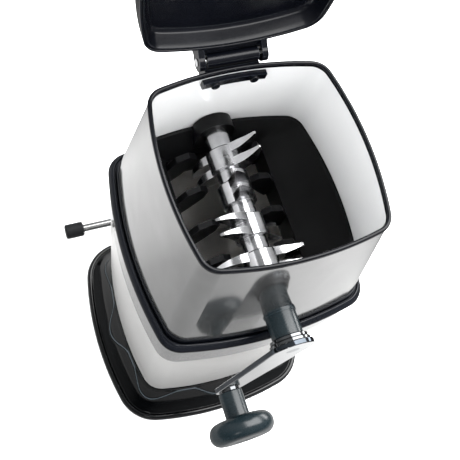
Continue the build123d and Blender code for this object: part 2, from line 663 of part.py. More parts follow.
def hinge_screw_holes(radius):
    """Two holes through the back wall."""
    holes = [rod_y(radius, 45, 63, side * HINGE_SCREW_X, HINGE_SCREW_Z) for side in (-1, 1)]
    return holes[0] + holes[1]


def hinge_screw(side):
    """Screw through the clamp into the bracket, head inside the hopper."""
    x = side * HINGE_SCREW_X
    y = hopper_half(HINGE_SCREW_Z) - SHEET - CLAMP_THICK
    head = rod_y(2.5, y - 2.1, y - 0.8, x, HINGE_SCREW_Z)
    head = fillet(head.edges().group_by(Axis.Y)[0], 0.7)
    head -= block(x - 1.8, x + 1.8, y - 3, y - 1.6, HINGE_SCREW_Z - 0.35, HINGE_SCREW_Z + 0.35)
    return head + rod_y(HINGE_SCREW_R, y - 1.0, 62.4, x, HINGE_SCREW_Z)


def hinge_pin():
    """Polished pin of the lid's hinge."""
    return rod_x(HINGE_R, -EAR_X - EAR_THICK - 0.4, EAR_X + EAR_THICK + 0.4, HINGE_Y, HINGE_Z)


def opened(shape):
    """The shape swung from the closed lid to the open one."""
    place = Pos(0, HINGE_Y, HINGE_Z)
    return place * Rot(-LID_OPEN, 0, 0) * Pos(0, -HINGE_Y, -HINGE_Z) * shape


def lid_stack(*sections):
    """Solid of the closed lid through sections (height above the lip, inset from the lip)."""
    return Pos(0, LID_SHIFT, 0) * stack(*[
        (LID_LIP_Z + up, LID_HALF - inset, LID_CORNER - inset) for up, inset in sections])


def lid_shell():
    """Lid with a deep skirt and a rounded top edge, open below."""
    cover = lid_stack((0, 0), (LID_DEPTH, 0.7))
    cover = fillet(cover.edges().group_by(Axis.Z)[-1], 4.2)
    return opened(cover - lid_stack((-1, LID_WALL), (LID_HOLLOW, LID_DRAFT)))


def lid_liner():
    """Sloping inner wall and floor of the lid's underside."""
    slope = (LID_DRAFT - LID_WALL) / (LID_HOLLOW + 1)
    foot = 0.6
    solid = lid_stack((foot, LID_WALL + slope * (foot + 1) + 0.02), (LID_HOLLOW - 0.02, LID_DRAFT + 0.02))
    tray = lid_stack((foot - 0.2, LID_WALL + 1.1), (LID_TRAY - 2.2, 4.9), (LID_TRAY - 0.6, 5.9),
                     (LID_TRAY, 7.9))
    return opened(solid - tray)


def hinge_leaf():
    """Leaf on the back of the lid's skirt, round the barrel, with an ear at each end of the pin."""
    back = LID_HALF + LID_SHIFT
    end = EAR_X + EAR_THICK
    leaf = block(-end, end, back - 6, back + 3.4, 272.6, 281.0)
    leaf = fillet(leaf.edges().filter_by(Axis.X).group_by(Axis.Y)[-1], 1.5)
    leaf += block(-end, end, back - 4, HINGE_Y + 0.6, 271.4, 278.0)
    leaf -= rod_x(BARREL_R + LEAF_GAP, -EAR_X, EAR_X, HINGE_Y, HINGE_Z)
    for side in (-1, 1):
        x0, x1 = sorted((side * EAR_X, side * end))
        ear = make_face(Polyline((x0, back - 4, 272.6), (x0, back - 4, 281.0), (x0, back + 3.4, 281.0),
                                 (x0, HINGE_Y + 4.2, HINGE_Z + 2.4), (x0, HINGE_Y, HINGE_Z - 3),
                                 (x0, HINGE_Y - 3.6, HINGE_Z - 2.2), (x0, back, 271.0), close=True))
        leaf += extrude(ear, x1 - x0, dir=(1, 0, 0)) + rod_x(EAR_R, x0, x1, HINGE_Y, HINGE_Z)
    leaf -= lid_stack((-10, 0), (0, 0), (LID_DEPTH, 0.7))
    return opened(leaf - rod_x(HINGE_R + FIT, -30, 30, HINGE_Y, HINGE_Z))


def all_parts():
    """Every piece by its name."""
    parts = {
        "base_shell": base_shell(), "base_plate": base_plate(), "suction_cup": suction_cup(),
        "lever_bush": lever_bush(), "lift_yoke": lift_yoke(), "lift_foot": lift_foot(),
        "lever_rod": lever_rod(), "lever_cap": lever_cap(), "lever_cam": lever_cam(),
        "container_shell": container_shell(), "container_lip": container_lip(),
        "skirt": skirt(), "deck": deck(), "band": band(), "hopper_shell": hopper_shell(),
        "rim_ring": rim_ring(), "funnel": funnel(),
        "bush_front": bush(-BUSH_END_Y - 0.1, -BEARING_Y), "bush_rear": bush(BEARING_Y, BUSH_END_Y),
        "crank_boss": crank_boss(), "boss_ring": boss_ring(),
        "rotor_shaft": rotor_shaft(), "hub_disc": hub_disc(), "crank_arm": crank_arm(),
        "handle_pin": handle_pin(), "handle_washer": handle_washer(),
        "handle_stem": handle_stem(), "handle_knob": handle_knob(), "knob_cap": knob_cap(),
        "hinge_bracket": hinge_bracket(), "hinge_clamp": hinge_clamp(), "hinge_pin": hinge_pin(),
        "lid_shell": lid_shell(), "lid_liner": lid_liner(), "hinge_leaf": hinge_leaf(),
    }
    for i, (x, y) in enumerate(screw_places(), 1):
        parts[f"base_screw_{i}"] = base_screw(x, y)
    for i, side in enumerate((-1, 1), 1):
        parts[f"hinge_screw_{i}"] = hinge_screw(side)
    for i in range(CLAW_COUNT):
        parts[f"claw_{i + 1}"] = claw(i)
    for i, (y0, y1) in enumerate(sleeve_spans(), 1):
        parts[f"sleeve_{i}"] = sleeve(y0, y1)
    for i in range(CLAW_COUNT + 1):
        y = COMB_PITCH * (i - CLAW_COUNT / 2)
        parts[f"comb_left_{i + 1}"] = comb_bar(-1, y)
        parts[f"comb_right_{i + 1}"] = comb_bar(1, y)
    return parts


os.makedirs("parts", exist_ok=True)
for name, shape in all_parts().items():
    export_step(shape, os.path.join("parts", name + ".step"))
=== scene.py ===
import json
import math

import bpy
from mathutils import Matrix, Vector


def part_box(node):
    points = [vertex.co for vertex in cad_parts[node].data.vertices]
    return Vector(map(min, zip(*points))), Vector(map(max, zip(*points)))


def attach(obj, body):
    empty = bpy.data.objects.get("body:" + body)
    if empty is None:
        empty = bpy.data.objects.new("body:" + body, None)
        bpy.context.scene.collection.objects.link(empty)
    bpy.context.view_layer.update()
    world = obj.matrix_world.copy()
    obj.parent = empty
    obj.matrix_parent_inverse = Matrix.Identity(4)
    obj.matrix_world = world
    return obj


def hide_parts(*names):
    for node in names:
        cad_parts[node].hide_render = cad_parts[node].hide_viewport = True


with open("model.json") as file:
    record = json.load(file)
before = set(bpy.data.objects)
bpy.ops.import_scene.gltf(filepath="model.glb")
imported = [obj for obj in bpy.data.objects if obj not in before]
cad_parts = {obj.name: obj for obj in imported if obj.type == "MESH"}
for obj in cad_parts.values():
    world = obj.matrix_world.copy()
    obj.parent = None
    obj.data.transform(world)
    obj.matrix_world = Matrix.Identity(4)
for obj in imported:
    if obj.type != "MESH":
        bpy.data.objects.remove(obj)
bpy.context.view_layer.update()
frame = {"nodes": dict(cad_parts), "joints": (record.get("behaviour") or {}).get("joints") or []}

NODES = frame["nodes"]
JOINTS = {joint["name"]: joint for joint in frame["joints"]}


# ---------------------------------------------------------------- layers of a finish

class Finish:
    """A Principled material made of procedural layers, in the object's own metres.

    The keyword arguments are the shader's sockets that are the same all over the surface.
    """

    def __init__(self, name, **sockets):
        self.mat = bpy.data.materials.new(name)
        self.mat.use_nodes = True
        self.tree = self.mat.node_tree
        self.tree.nodes.clear()
        self.out = self.node("ShaderNodeOutputMaterial")
        self.bsdf = self.node("ShaderNodeBsdfPrincipled")
        self.link(self.bsdf.outputs["BSDF"], self.out.inputs["Surface"])
        for socket, value in sockets.items():
            self.bsdf.inputs[socket.replace("_", " ")].default_value = value
        places = self.node("ShaderNodeTexCoord")
        self.coords = places.outputs["Object"]
        self.facing = places.outputs["Normal"]
        self.last_normal = None

    def node(self, kind, **settings):
        made = self.tree.nodes.new(kind)
        for setting, value in settings.items():
            setattr(made, setting, value)
        return made

    def link(self, output, socket):
        self.tree.links.new(output, socket)

    def stretched(self, scale):
        """Object coordinates scaled per axis."""
        mapping = self.node("ShaderNodeMapping")
        mapping.inputs["Scale"].default_value = scale
        self.link(self.coords, mapping.inputs["Vector"])
        return mapping.outputs["Vector"]

    def split(self, vector):
        """The X, Y and Z outputs of a vector."""
        parts = self.node("ShaderNodeSeparateXYZ")
        self.link(vector, parts.inputs["Vector"])
        return parts.outputs

    def dot(self, a, b):
        """The dot product of two vectors: for unit vectors, 1 where they agree."""
        product = self.node("ShaderNodeVectorMath", operation="DOT_PRODUCT")
        self.link(a, product.inputs[0])
        self.link(b, product.inputs[1])
        return product.outputs["Value"]

    def maths(self, kind, a, b=0.0):
        """A Math node on two values, each an output or a number."""
        made = self.node("ShaderNodeMath", operation=kind)
        for socket, value in zip(made.inputs, (a, b)):
            if isinstance(value, (int, float)):
                socket.default_value = value
            else:
                self.link(value, socket)
        return made.outputs["Value"]

    def blend(self, a, share, b):
        """The given share of value a, and the rest of value b."""
        return self.maths("ADD", self.maths("MULTIPLY", a, share), self.maths("MULTIPLY", b, 1 - share))

    def spread(self, value, low, high, start=0.3, end=0.7):
        """The value remapped from start..end to low..high."""
        made = self.node("ShaderNodeMapRange")
        for socket, number in zip(("From Min", "From Max", "To Min", "To Max"), (start, end, low, high)):
            made.inputs[socket].default_value = number
        self.link(value, made.inputs["Value"])
        return made.outputs["Result"]

    def choice(self, factor, a, b):
        """Value a where the factor is 0, and b where it is 1."""
        made = self.node("ShaderNodeMix")
        self.link(factor, made.inputs[0])
        self.link(a, made.inputs[2])
        self.link(b, made.inputs[3])
        return made.outputs[0]

    def mix(self, factor, a, b):
        """Colour a where the factor is 0, and b where it is 1."""
        made = self.node("ShaderNodeMix", data_type="RGBA")
        self.link(factor, made.inputs["Factor"])
        for socket, colour in ((made.inputs[6], a), (made.inputs[7], b)):
            if isinstance(colour, tuple):
                socket.default_value = (*colour, 1)
            else:
                self.link(colour, socket)
        return made.outputs[2]

    def ramp(self, value, *stops):
        """Colour ramp from (place, colour or grey) stops."""
        made = self.node("ShaderNodeValToRGB")
        elements = made.color_ramp.elements
        for i, (place, colour) in enumerate(stops):
            element = elements[i] if i < 2 else elements.new(place)
            element.position = place
            element.color = (*colour, 1) if isinstance(colour, tuple) else (colour, colour, colour, 1)
        self.link(value, made.inputs["Fac"])
        return made.outputs["Color"]

    def tint(self, value, first, second, start=0.3, end=0.7):
        """One colour up to the start, another from the end on, and a blend between them."""
        return self.ramp(value, (start, first), (end, second))

    def noise(self, scale, detail=3.0, rough=0.55, distort=0.0, stretch=(1, 1, 1)):
        made = self.node("ShaderNodeTexNoise")
        made.inputs["Scale"].default_value = scale
        made.inputs["Detail"].default_value = detail
        made.inputs["Roughness"].default_value = rough
        made.inputs["Distortion"].default_value = distort
        self.link(self.stretched(stretch), made.inputs["Vector"])
        return made.outputs["Fac"]

    def smears(self, scale, distort):
        """Cloudy smears, as a wiped or handled surface has."""
        return self.noise(scale, detail=4, rough=0.6, distort=distort)

    def hairlines(self, scale, stretch):
        """Fine lines along each axis whose stretch is small."""
        return self.noise(scale, detail=2, rough=0.5, stretch=stretch)

    def edges(self, radius):
        """Share of edge at a point: 1 on a sharp edge, 0 on a flat."""
        bevel = self.node("ShaderNodeBevel", samples=4)
        bevel.inputs["Radius"].default_value = radius
        geometry = self.node("ShaderNodeNewGeometry")
        alike = self.dot(bevel.outputs["Normal"], geometry.outputs["Normal"])
        return self.spread(alike, 1.0, 0.0, start=0.86, end=0.995)

    def colour(self, value):
        self.link(value, self.bsdf.inputs["Base Color"])
        return self

    def worn(self, radius, body, rubbed):
        """The body colour, with edges of the given radius rubbed to another."""
        return self.colour(self.mix(self.edges(radius), body, rubbed))

    def rough(self, value):
        self.link(value, self.bsdf.inputs["Roughness"])
        return self

    def metallic(self, value):
        self.link(value, self.bsdf.inputs["Metallic"])
        return self

    def bump(self, height, depth):
        """One more bump layer, depth in metres."""
        made = self.node("ShaderNodeBump")
        made.inputs["Strength"].default_value = 1.0
        made.inputs["Distance"].default_value = depth
        self.link(height, made.inputs["Height"])
        if self.last_normal:
            self.link(self.last_normal, made.inputs["Normal"])
        self.last_normal = made.outputs["Normal"]
        self.link(self.last_normal, self.bsdf.inputs["Normal"])
        return self

    def waves(self, scale, depth):
        """A slow unevenness of the whole surface."""
        return self.bump(self.noise(scale, detail=2), depth)


# ---------------------------------------------------------------- metals

# stretches that make hairlines run along one axis, or level
ALONG_Z = (1, 1, 0.03)
LEVEL = (0.03, 0.03, 1)
ALONG_Y = (1, 0.05, 1)
RUBBED_METAL = (0.78, 0.78, 0.79)


def hopper_steel():
    """Polished outside in a darkened grey that paints shade into its reflections, and a softer satin inside
    in a near-white, barely metallic colour that paints light on the inner walls; the two are told apart by
    which way a face looks from the axis.
    """
    f = Finish("hopper_steel")
    outward = f.dot(f.stretched((1, 1, 0)), f.facing)
    inside = f.maths("LESS_THAN", outward, 0.0)
    smears = f.smears(26, distort=0.6)
    hair = f.hairlines(900, ALONG_Z)
    # painted shade outside: a grey darker than bare polished steel, to grey its reflections; painted light
    # inside: near white
    outer = f.tint(smears, (0.34, 0.34, 0.339), (0.385, 0.385, 0.384))
    inner = f.tint(f.noise(18, detail=4), (0.94, 0.94, 0.937), (0.97, 0.97, 0.967))
    f.colour(f.mix(inside, outer, inner))
    polish = f.spread(f.blend(smears, 0.7, hair), 0.05, 0.13)
    satin = f.spread(hair, 0.16, 0.24)
    f.rough(f.choice(inside, polish, satin))
    f.metallic(f.spread(inside, 0.93, 0.12, start=0.0, end=1.0))
    return f.bump(hair, 1.2e-6).waves(34, 4e-5)


def polished_steel():
    """Polished, with fine level lines."""
    f = Finish("polished_steel", Metallic=0.8)
    smears = f.smears(26, distort=0.6)
    hair = f.hairlines(900, LEVEL)
    f.colour(f.tint(smears, (0.25, 0.25, 0.249), (0.29, 0.29, 0.289)))
    f.rough(f.spread(f.blend(smears, 0.7, hair), 0.06, 0.14))
    return f.bump(hair, 1.2e-6).waves(34, 4e-5)


def satin_steel():
    """Brushed round the body, in a warm pale grey."""
    f = Finish("satin_steel", Metallic=0.75)
    grain = f.noise(1700, rough=0.6, stretch=(0.02, 0.02, 1))
    cloud = f.noise(14, rough=0.5, distort=0.2)
    f.colour(f.tint(cloud, (0.665, 0.657, 0.642), (0.715, 0.707, 0.692), start=0.25, end=0.75))
    f.rough(f.spread(f.blend(grain, 0.7, cloud), 0.27, 0.31))
    return f.bump(grain, 3e-7)


def chrome(name, first, second):
    """Plating, lightly smeared from one colour to another; the dark copy paints shade into its reflections.
    """
    f = Finish(name, Metallic=1.0)
    smears = f.smears(60, distort=0.5)
    hair = f.hairlines(1600, ALONG_Y)
    f.colour(f.tint(smears, first, second))
    f.rough(f.spread(f.blend(smears, 0.6, hair), 0.03, 0.1))
    return f.bump(hair, 8e-7)


def arm_steel():
    """Chrome on the arm's flat faces, and a dark colour on the sides round it: painted shade standing in for
    their dark reflections.
    """
    f = Finish("arm_steel", Metallic=1.0)
    flat = f.spread(f.maths("ABSOLUTE", f.split(f.facing)["Y"]), 0.0, 1.0, start=0.35, end=0.75)
    smears = f.smears(60, distort=0.5)
    hair = f.hairlines(1600, ALONG_Y)
    # painted shade: the sides, away from the flat faces, take this dark colour in place of dark reflections
    edge = f.tint(smears, (0.05, 0.06, 0.07), (0.09, 0.10, 0.115))
    face = f.tint(smears, (0.76, 0.77, 0.78), (0.84, 0.845, 0.85))
    f.colour(f.mix(flat, edge, face))
    f.rough(f.spread(f.blend(smears, 0.6, hair), 0.05, 0.13))
    return f.bump(hair, 8e-7)


def cast_claw():
    """Cast steel with a slightly rough skin and rubbed edges."""
    f = Finish("cast_claw", Metallic=1.0)
    skin = f.noise(420, detail=4, rough=0.6)
    body = f.tint(f.noise(80, detail=4), (0.36, 0.36, 0.37), (0.48, 0.48, 0.49))
    f.worn(0.0006, body, RUBBED_METAL)
    f.rough(f.spread(skin, 0.12, 0.26))
    return f.bump(skin, 4e-5)


def bearing_brass():
    """Turned brass, with its lines along the shaft's axis."""
    f = Finish("bearing_brass", Metallic=1.0)
    turned = f.noise(900, rough=0.6, stretch=(1, 0.1, 1))
    f.colour(f.tint(f.noise(120, detail=4), (0.52, 0.38, 0.19), (0.68, 0.51, 0.28)))
    f.rough(f.spread(turned, 0.22, 0.4))
    return f.bump(turned, 4e-6)


def zinc_steel():
    """Plated fasteners: speckled grey with rubbed edges."""
    f = Finish("zinc_steel", Metallic=1.0)
    grain = f.noise(700, detail=4, rough=0.6)
    f.worn(0.0004, f.tint(grain, (0.50, 0.51, 0.53), (0.64, 0.65, 0.66)), RUBBED_METAL)
    f.rough(f.spread(grain, 0.2, 0.4))
    return f.bump(grain, 6e-6)


# ---------------------------------------------------------------- plastics, rubber and the floor

def moulded(name, first, second, rubbed, rough, grain_depth, shine):
    """Moulded plastic: faint colour clouding, fine grain and slightly rubbed edges."""
    f = Finish(name, Specular_IOR_Level=shine)
    cloud = f.smears(38, distort=0.4)
    f.worn(0.0005, f.tint(cloud, first, second), rubbed)
    grain = f.noise(2600, rough=0.6)
    f.rough(f.spread(f.blend(grain, 0.5, cloud), *rough))
    return f.bump(grain, grain_depth).waves(70, 3e-5)


# first and second are the two colours of the clouding, and rough is the least and the most roughness
PLASTICS = {
    "black_gloss": {
        "first": (0.005, 0.0058, 0.0085), "second": (0.0075, 0.0085, 0.0115), "rubbed": (0.01, 0.012, 0.016),
        "rough": (0.1, 0.2), "grain_depth": 2e-6, "shine": 0.5},
    "rim_black": {
        "first": (0.002, 0.0023, 0.0035), "second": (0.0038, 0.0043, 0.006), "rubbed": (0.012, 0.014, 0.018),
        "rough": (0.14, 0.24), "grain_depth": 2e-6, "shine": 0.25},
    # painted highlight: a paler black for the stripe along the apron's beaded edge
    "base_edge_painted_highlight": {
        "first": (0.020, 0.026, 0.030), "second": (0.030, 0.037, 0.042), "rubbed": (0.05, 0.06, 0.068),
        "rough": (0.14, 0.24), "grain_depth": 2e-6, "shine": 0.5},
    "lid_black": {
        "first": (0.0015, 0.002, 0.0035), "second": (0.003, 0.0036, 0.006), "rubbed": (0.02, 0.024, 0.032),
        "rough": (0.16, 0.28), "grain_depth": 2e-6, "shine": 0.25},
    "base_black": {
        "first": (0.0007, 0.0009, 0.0012), "second": (0.0014, 0.0018, 0.0022), "rubbed": (0.014, 0.017, 0.02),
        "rough": (0.06, 0.13), "grain_depth": 1e-6, "shine": 0.42},
    "black_plastic": {
        "first": (0.0012, 0.0013, 0.0016), "second": (0.0025, 0.0026, 0.003), "rubbed": (0.012, 0.012, 0.014),
        "rough": (0.34, 0.5), "grain_depth": 1e-5, "shine": 0.16},
    "slate_plastic": {
        "first": (0.004, 0.0098, 0.013), "second": (0.0062, 0.0137, 0.0168), "rubbed": (0.03, 0.045, 0.055),
        "rough": (0.22, 0.33), "grain_depth": 3e-6, "shine": 0.5},
}


def rubber():
    """Matt black with a little dust in it."""
    f = Finish("rubber", Specular_IOR_Level=0.2)
    dust = f.noise(240, detail=5, rough=0.65)
    grain = f.noise(3200, detail=2)
    f.colour(f.tint(dust, (0.004, 0.0044, 0.0055), (0.008, 0.0085, 0.0095), end=0.75))
    f.rough(f.spread(grain, 0.5, 0.72))
    return f.bump(grain, 1.2e-5)


def floor_paper():
    """Matt pale paper, very slightly clouded."""
    f = Finish("floor_paper", Roughness=0.8)
    return f.colour(f.tint(f.noise(3), 0.925, 0.935))


# ---------------------------------------------------------------- finishes on the CAD nodes

FINISHES = {
    "hopper_steel": hopper_steel(),
    "polished_steel": polished_steel(),
    "satin_steel": satin_steel(),
    "chrome": chrome("chrome", (0.82, 0.83, 0.84), (0.90, 0.905, 0.91)),
    # painted shade: a darkened copy of the chrome, so that its reflections come out dark
    "chrome_painted_dark": chrome("chrome_painted_dark", (0.13, 0.135, 0.14), (0.18, 0.185, 0.19)),
    "arm_steel": arm_steel(),
    "cast_claw": cast_claw(),
    "bearing_brass": bearing_brass(),
    "zinc_steel": zinc_steel(),
    "rubber": rubber(),
}
for name, makeup in PLASTICS.items():
    FINISHES[name] = moulded(name, **makeup)


def named(*starts):
    """The CAD nodes whose names begin with one of these."""
    return [node for node in NODES if node.startswith(starts)]


NODES_BY_FINISH = {
    "black_gloss": ["band"],
    "rim_black": ["rim_ring", "hinge_screw_1", "hinge_screw_2"],
    "lid_black": ["lid_shell", "lid_liner", "hinge_leaf", "hinge_bracket", "hinge_clamp"],
    "base_black": ["base_shell"],
    "black_plastic": ["base_plate", "deck", "funnel", "lever_bush", "lift_yoke", "lift_foot",
                      *named("comb_")],
    "slate_plastic": ["crank_boss", "boss_ring", "handle_stem", "handle_knob", "knob_cap"],
    "hopper_steel": ["hopper_shell"],
    "polished_steel": ["skirt", "lever_rod"],
    "satin_steel": ["container_shell"],
    "arm_steel": ["crank_arm"],
    "chrome": ["hinge_pin"],
    "chrome_painted_dark": ["hub_disc", "handle_washer", "handle_pin"],
    "cast_claw": named("claw_", "sleeve_"),
    "bearing_brass": ["bush_front", "bush_rear"],
    "zinc_steel": ["rotor_shaft", "lever_cam", *named("base_screw")],
    "rubber": ["suction_cup", "lever_cap", "container_lip"],
}
for finish, nodes in NODES_BY_FINISH.items():
    for node in nodes:
        data = NODES[node].data
        data.materials.clear()
        data.materials.append(FINISHES[finish].mat)


# ---------------------------------------------------------------- meshes through rings
# Lengths are in millimetres from here to the stage, as in the CAD, and become metres when a mesh is made.
# A profile is a list of points (inset from an outline, height).

MM = 1000
BOW = 3.5         # a side's radius as a multiple of the half width
STEPS = 480       # points round a ring


def extent(node):
    """A CAD node's half width, foot and top, to a hundredth."""
    low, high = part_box(node)
    return [round(value * MM, 2) for value in (high.x, low.z, high.z)]


def from_side(angle):
    """Angle from the middle of the nearest side."""
    return (angle + math.pi / 4) % (math.pi / 2) - math.pi / 4


def corner_centre(half, corner, bow):
    """How far out on X and on Y the centre of a round corner lies."""
    side = half - bow
    reach = bow - corner
    return (side + math.sqrt(2 * reach * reach - side * side)) / 2


def bowed_radius(angle, half, corner, bow):
    """Distance from the middle to the outline of a square with bowed sides and round corners."""
    side = half - bow
    centre = corner_centre(half, corner, bow)
    turn = abs(from_side(angle))
    side_end = math.atan2(bow * centre, side * math.hypot(centre - side, centre) + bow * (centre - side))
    if turn < side_end:
        return side * math.cos(turn) + math.sqrt(bow**2 - (side * math.sin(turn)) ** 2)
    across = centre * (math.sin(turn) - math.cos(turn))
    along = centre * (math.cos(turn) + math.sin(turn))
    return along + math.sqrt(max(corner**2 - across**2, 0.0))


def ring(z, half, corner):
    """One ring of a shell: radius and height by angle."""
    return lambda angle: (bowed_radius(angle, half, corner, BOW * half), z)


def inset_rings(profile, half, corner, foot, sharpening=1.0):
    """Rings for a profile of (inset, rise over the foot) inside an outline.

    The corner gets smaller by the sharpening for each millimetre of inset.
    """
    return [ring(foot + rise, half - inset, corner - inset * sharpening) for inset, rise in profile]


def rounded(profile, radius, steps=5):
    """The profile with each corner between its two ends turned into a small arc."""
    points = [profile[0]]
    for before, corner, after in zip(profile, profile[1:], profile[2:]):
        here = Vector(corner)
        back = Vector(before) - here
        ahead = Vector(after) - here
        cut = min(radius, back.length / 2, ahead.length / 2)
        a, b = here + back.normalized() * cut, here + ahead.normalized() * cut
        for i in range(steps + 1):
            t = i / steps
            p = a * (1 - t) ** 2 + here * 2 * t * (1 - t) + b * t * t
            points.append((p.x, p.y))
    return points + [profile[-1]]


def add_mesh(name, verts, faces):
    mesh = bpy.data.meshes.new(name)
    mesh.from_pydata(verts, [], faces)
    mesh.update()
    obj = bpy.data.objects.new(name, mesh)
    bpy.context.scene.collection.objects.link(obj)
    return obj


def shell(name, rings, finish, capped=False, place=None, stripes=()):
    """Smooth mesh through closed rings: a loop of rings, or a capped stack of them.

    Each stripe is (finish, first ring, last ring).
    """
    angles = [2 * math.pi * i / STEPS for i in range(STEPS)]
    verts = []
    for r in rings:
        for angle in angles:
            radius, z = r(angle)
            verts.append((radius * math.cos(angle) / MM, radius * math.sin(angle) / MM, z / MM))
    faces = []
    last = len(rings) - 1 if capped else len(rings)
    for k in range(last):
        a, b = k * STEPS, (k + 1) % len(rings) * STEPS
        for i in range(STEPS):
            j = (i + 1) % STEPS
            faces.append((a + i, a + j, b + j, b + i))
    if capped:
        faces.append(tuple(reversed(range(STEPS))))
        faces.append(tuple(range((len(rings) - 1) * STEPS, len(rings) * STEPS)))
    obj = add_mesh(name, verts, faces)
    if place:
        obj.data.transform(place)
    obj.data.shade_smooth()
    obj.data.materials.append(FINISHES[finish].mat)
    for slot, (stripe, first, last) in enumerate(stripes, 1):
        obj.data.materials.append(FINISHES[stripe].mat)
        for face in obj.data.polygons[first * STEPS:last * STEPS]:
            face.material_index = slot
    return obj


def bored(obj, radius, start, end, sides=48):
    """The piece with a round hole from start to end."""
    a, b = Vector(start) / MM, Vector(end) / MM
    turn = (b - a).to_track_quat("Z", "Y").to_matrix()
    verts = []
    for place in (a, b):
        for i in range(sides):
            t = 2 * math.pi * i / sides
            verts.append(place + turn @ Vector((math.cos(t), math.sin(t), 0)) * radius / MM)
    faces = [(i, (i + 1) % sides, sides + (i + 1) % sides, sides + i) for i in range(sides)]
    faces += [tuple(reversed(range(sides))), tuple(range(sides, 2 * sides))]
    cutter = add_mesh("cutter", verts, faces)
    cut = obj.modifiers.new("bore", "BOOLEAN")
    cut.operation, cut.object, cut.solver = "DIFFERENCE", cutter, "EXACT"
    bpy.context.view_layer.update()
    done = bpy.data.meshes.new_from_object(obj.evaluated_get(bpy.context.evaluated_depsgraph_get()))
    obj.modifiers.clear()
    obj.data = done
    bpy.data.objects.remove(cutter)
    return obj


# ---------------------------------------------------------------- base
# A flared foot with a rounded lip, and a thin apron whose wavy edge is a soft step on the flare.

BASE_HALF, FOOT_Z, NECK_Z = extent("base_shell")
BASE_CORNER, BASE_BOW = 30.0, 226.0
NECK_HALF = 60.4
BODY_CORNER = 14.5
CONTAINER_FOOT_HALF = 60.5

LIP = [(4.0, FOOT_Z), (1.5, FOOT_Z), (0.0, 2.0), (0.0, 4.9), (1.3, 7.0), (3.1, 7.2), (4.1, 6.1)]
LIP_ROUND = 1.1
FLARE = [(4.3, 6.0), (4.9, 6.7), (6.2, 7.8), (8.4, 9.7), (11.0, 12.4), (13.4, 15.4), (15.2, 18.0),
         (17.0, 20.6), (22.0, 27.8)]
FLARE_FOOT_INSET = 4.4   # where the flare's rings start
FLARE_MID_INSET = 17.0   # insets on the flare are shares of the way from the outline to this one
FLARE_STEPS = 14

APRON_STEP = 1.3         # height of the apron over the flare
APRON_MARGIN = 0.3       # least distance of the apron's edge from the container's foot
APRON_TOP_Z = 24.0
APRON_STEPS = 6
NECK_FILLET = 0.2        # how far outside the neck its fillet starts
SIDE_LOBE, SIDE_LOBE_REACH = 6.7, 22.0
CORNER_LOBE, CORNER_LOBE_REACH = 4.8, math.radians(19)
# the apron's beaded edge, from the flare up: (distance outside the apron's edge, rise over the flare)
EDGE = [(0.6, 0.0), (0.42, 0.08), (0.3, 0.35), (0.27, 0.75), (0.2, 1.15), (0.02, 1.48), (-0.25, 1.6),
        (-0.52, 1.5), (-0.75, 1.33), (-1.0, APRON_STEP)]
EDGE_HIGHLIGHT_STRIPE = (3, 7)     # first and last ring of the edge's paler stripe: a painted highlight along the bead

# the neck's fillet and top edge: (height, how much wider than the neck)
NECK = [(25.0, 0.15), (27.0, 0.1), (NECK_Z - 0.6, 0.0), (NECK_Z - 0.15, -0.15), (NECK_Z, -0.6)]
# the recess for the container's foot, and the neck's hollow: (height, half width, corner)
RECESS = [(NECK_Z, 56.4, 12.0), (NECK_Z - 2.8, 56.0, 12.0), (NECK_Z - 3.0, 57.8, 12.5), (12.0, 58.2, 12.5)]
# the hollow below the neck, out to the lip: (inset, height)
UNDERSIDE = [(19.0, 11.9), (14.5, 9.0), (10.0, 6.6), (6.5, 4.6), (4.0, 4.5)]

LEVER_Z = JOINTS["lever_turn"]["pos_m"][2] * MM
LEVER_BORE_R = 6.65
LEVER_BORE_Y = (50, 90)


def base_radius(angle, inset):
    """Distance from the middle to the base's outline, so far inside it."""
    return bowed_radius(angle, BASE_HALF - inset, BASE_CORNER - inset, BASE_BOW - inset)


def base_ring(inset, z):
    """One ring of the base: radius and height by angle."""
    return lambda angle: (base_radius(angle, inset), z)


def lobe(share):
    """A smooth hump: 1 at share 0, and 0 from share 1 on."""
    return 0.5 * (1 + math.cos(math.pi * min(abs(share), 1.0)))


def apron_radius(angle):
    """Distance of the apron's wavy edge from the middle: a lobe by each side and one by each corner."""
    turn = from_side(angle)
    body = bowed_radius(angle, CONTAINER_FOOT_HALF, BODY_CORNER, BOW * CONTAINER_FOOT_HALF)
    by_side = SIDE_LOBE * lobe(body * math.sin(turn) / SIDE_LOBE_REACH)
    by_corner = CORNER_LOBE * lobe((math.pi / 4 - abs(turn)) / CORNER_LOBE_REACH)
    return body + APRON_MARGIN + by_side + by_corner


def flare_slope(k):
    """Slope of the flare at its point k, from the points on both sides of it."""
    s0, z0 = FLARE[max(k - 1, 0)]
    s1, z1 = FLARE[min(k + 1, len(FLARE) - 1)]
    return (z1 - z0) / (s1 - s0)


def flare_height(angle, radius):
    """Height of the flare at a distance from the middle, on a smooth curve through its points."""
    outline = base_radius(angle, 0)
    inset = (outline - radius) / (outline - base_radius(angle, FLARE_MID_INSET)) * FLARE_MID_INSET
    k = 0
    while k < len(FLARE) - 2 and inset > FLARE[k + 1][0]:
        k += 1
    (s0, z0), (s1, z1) = FLARE[k], FLARE[k + 1]
    w = s1 - s0
    t = min(max((inset - s0) / w, 0.0), 1.0)
    return ((2 * t**3 - 3 * t**2 + 1) * z0 + (t**3 - 2 * t**2 + t) * flare_slope(k) * w
            + (3 * t**2 - 2 * t**3) * z1 + (t**3 - t**2) * flare_slope(k + 1) * w)


def flare_ring(share):
    """Ring on the flare: share 0 by the lip's crease, 1 at the foot of the apron's edge."""
    def at(angle):
        outer = base_radius(angle, FLARE_FOOT_INSET)
        inner = apron_radius(angle) + EDGE[0][0]
        radius = outer + (inner - outer) * share
        return radius, flare_height(angle, radius)
    return at


